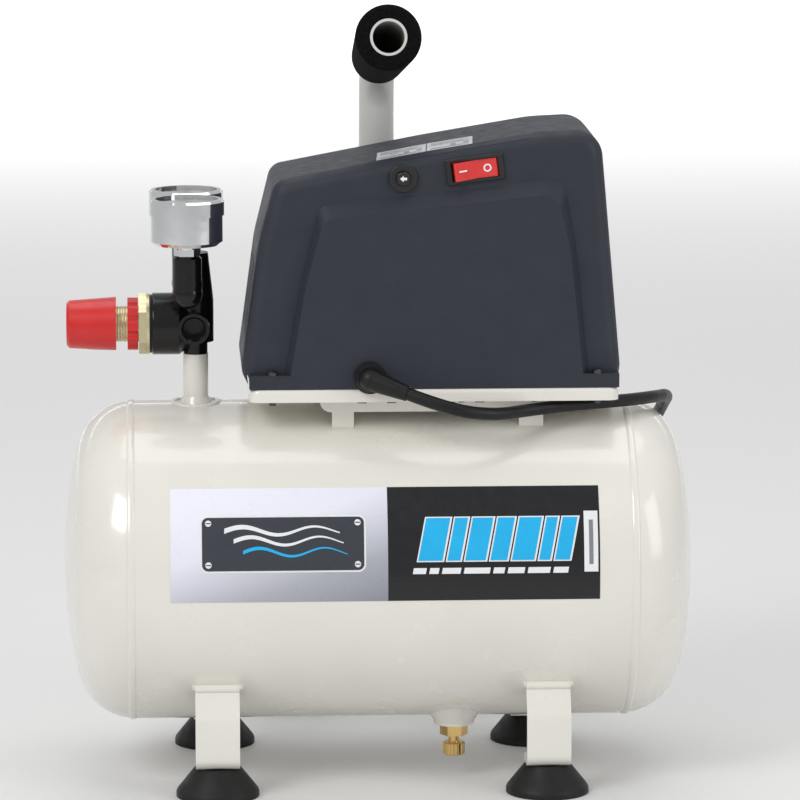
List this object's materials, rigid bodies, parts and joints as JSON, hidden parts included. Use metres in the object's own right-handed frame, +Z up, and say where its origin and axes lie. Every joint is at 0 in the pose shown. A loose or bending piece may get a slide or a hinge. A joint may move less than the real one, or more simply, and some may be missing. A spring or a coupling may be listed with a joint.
{
  "type": "air compressor",
  "caption": "Small oil-less workshop air compressor: horizontal tank on suction feet, shrouded motor and pump, carrying handle, regulator and gauges.",
  "frame": {"origin": "on the floor under the middle of the tank", "axes": "+X along the tank from the gauges to the crank end, +Y to the back where the handle post stands, +Z up"},
  "size_m": [0.346, 0.3181, 0.4316],
  "materials": {
    "cream_paint": "gloss",
    "handle_paint": "gloss",
    "foam_grip": "matte foam",
    "foot_rubber": "satin",
    "shroud_plastic": "fine grained",
    "black_plastic": "satin",
    "rocker_red": "translucent gloss",
    "knob_red": "satin gloss",
    "button_black": "gloss",
    "zinc_steel": "zinc plated",
    "yellow_brass": "machined",
    "black_casting": "gloss black",
    "gauge_chrome": "polished",
    "gauge_lens": "clear",
    "dial_white": "matt white",
    "needle_black": "matt black",
    "cord_black": "semi gloss",
    "lamination_steel": "raw",
    "copper_wire": "enamelled copper",
    "cast_aluminium": "as cast",
    "label_film": "printed film"
  },
  "bodies": {
    "frame": {"tank_shell": "cream_paint", "tank_heads": "cream_paint", "riser_pipe": "cream_paint", "drain_bung": "cream_paint", "leg_straps": "cream_paint", "mounting_plate": "cream_paint", "plate_bracket": "cream_paint", "handle_tube": "handle_paint", "handle_grip": "foam_grip", "suction_feet": "foot_rubber", "diaphragm": "foot_rubber", "shroud": "shroud_plastic", "switch_housing": "black_plastic", "breaker_body": "black_plastic", "pressure_switch": "black_plastic", "intake_filter": "black_plastic", "motor_capacitor": "black_plastic", "shroud_fasteners": "zinc_steel", "machine_screws": "zinc_steel", "through_bolts": "zinc_steel", "shaft_bearings": "zinc_steel", "regulator_bonnet": "yellow_brass", "safety_valve_body": "yellow_brass", "drain_valve_body": "yellow_brass", "check_valve": "yellow_brass", "plug_blades": "yellow_brass", "manifold_body": "black_casting", "gauge_cases": "gauge_chrome", "gauge_bezels": "gauge_chrome", "gauge_lenses": "gauge_lens", "gauge_dials": "dial_white", "power_cord": "cord_black", "cord_coil": "cord_black", "plug_body": "cord_black", "strain_relief": "cord_black", "motor_stator": "lamination_steel", "motor_windings": "copper_wire", "rear_end_bell": "cast_aluminium", "crankcase": "cast_aluminium", "cylinder": "cast_aluminium", "valve_plate": "cast_aluminium", "cylinder_head": "cast_aluminium", "discharge_tube": "cast_aluminium"},
    "rocker": {"switch_rocker": "rocker_red"},
    "reset_plunger": {"reset_button": "button_black"},
    "shaft": {"motor_rotor": "lamination_steel", "motor_shaft": "zinc_steel", "cooling_fan": "black_plastic", "eccentric": "zinc_steel"},
    "piston": {"piston_rod": "cast_aluminium", "cup_seal": "foot_rubber"},
    "adjuster": {"adjuster_button": "zinc_steel", "regulator_spring": "zinc_steel"},
    "knob": {"regulator_knob": "knob_red"},
    "locking_ring": {"lock_ring": "knob_red"},
    "outlet_pointer": {"outlet_needle": "needle_black"},
    "tank_pointer": {"tank_needle": "needle_black"},
    "drain_tip": {"drain_seal": "foot_rubber"},
    "drain_screw": {"drain_thumb_screw": "yellow_brass"},
    "relief_pull": {"safety_valve_ring": "zinc_steel"}
  },
  "joints": [
    {"name": "rocker_switch", "type": "hinge", "parent": "frame", "child": "rocker", "pos_m": [0.0506, -0.044, 0.3402], "axis": [0.1271, 0, -0.9919], "range_deg": [0, 19]},
    {"name": "reset_press", "type": "slide", "parent": "frame", "child": "reset_plunger", "axis": [0, 1, 0], "range_m": [0, 0.003], "stiffness_N_per_m": 300},
    {"name": "shaft_spin", "type": "hinge", "parent": "frame", "child": "shaft", "pos_m": [0, 0, 0.272], "axis": [1, 0, 0], "continuous": true},
    {"name": "piston_stroke", "type": "slide", "parent": "frame", "child": "piston", "axis": [0, 0, 1], "range_m": [0, 0.016]},
    {"name": "adjuster_travel", "type": "slide", "parent": "frame", "child": "adjuster", "axis": [1, 0, 0], "range_m": [0, 0.00375]},
    {"name": "knob_turn", "type": "hinge", "parent": "adjuster", "child": "knob", "pos_m": [-0.157, 0, 0.2505], "axis": [1, 0, 0], "range_deg": [0, 900]},
    {"name": "lock_ring_turn", "type": "hinge", "parent": "frame", "child": "locking_ring", "pos_m": [-0.134, 0, 0.2505], "axis": [1, 0, 0], "range_deg": [0, 30]},
    {"name": "outlet_gauge", "type": "hinge", "parent": "frame", "child": "outlet_pointer", "pos_m": [-0.1045, -0.0215, 0.315], "axis": [0, 0, -1], "range_deg": [0, 270]},
    {"name": "tank_gauge", "type": "hinge", "parent": "frame", "child": "tank_pointer", "pos_m": [-0.1045, 0.0215, 0.315], "axis": [0, 0, -1], "range_deg": [0, 270]},
    {"name": "drain_travel", "type": "slide", "parent": "frame", "child": "drain_tip", "axis": [0, 0, -1], "range_m": [0, 0.0015]},
    {"name": "drain_turn", "type": "hinge", "parent": "drain_tip", "child": "drain_screw", "pos_m": [0.041, -0.026, 0.0164], "axis": [0, 0, -1], "range_deg": [0, 540]},
    {"name": "safety_pull", "type": "slide", "parent": "frame", "child": "relief_pull", "axis": [0, 1, 0], "range_m": [0, 0.003], "stiffness_N_per_m": 800}
  ],
  "couplings": [
    {"joint": "adjuster_travel", "follows": "knob_turn", "m_per_rad": 0.00023872},
    {"joint": "drain_travel", "follows": "drain_turn", "m_per_rad": 0.00015914}
  ]
}
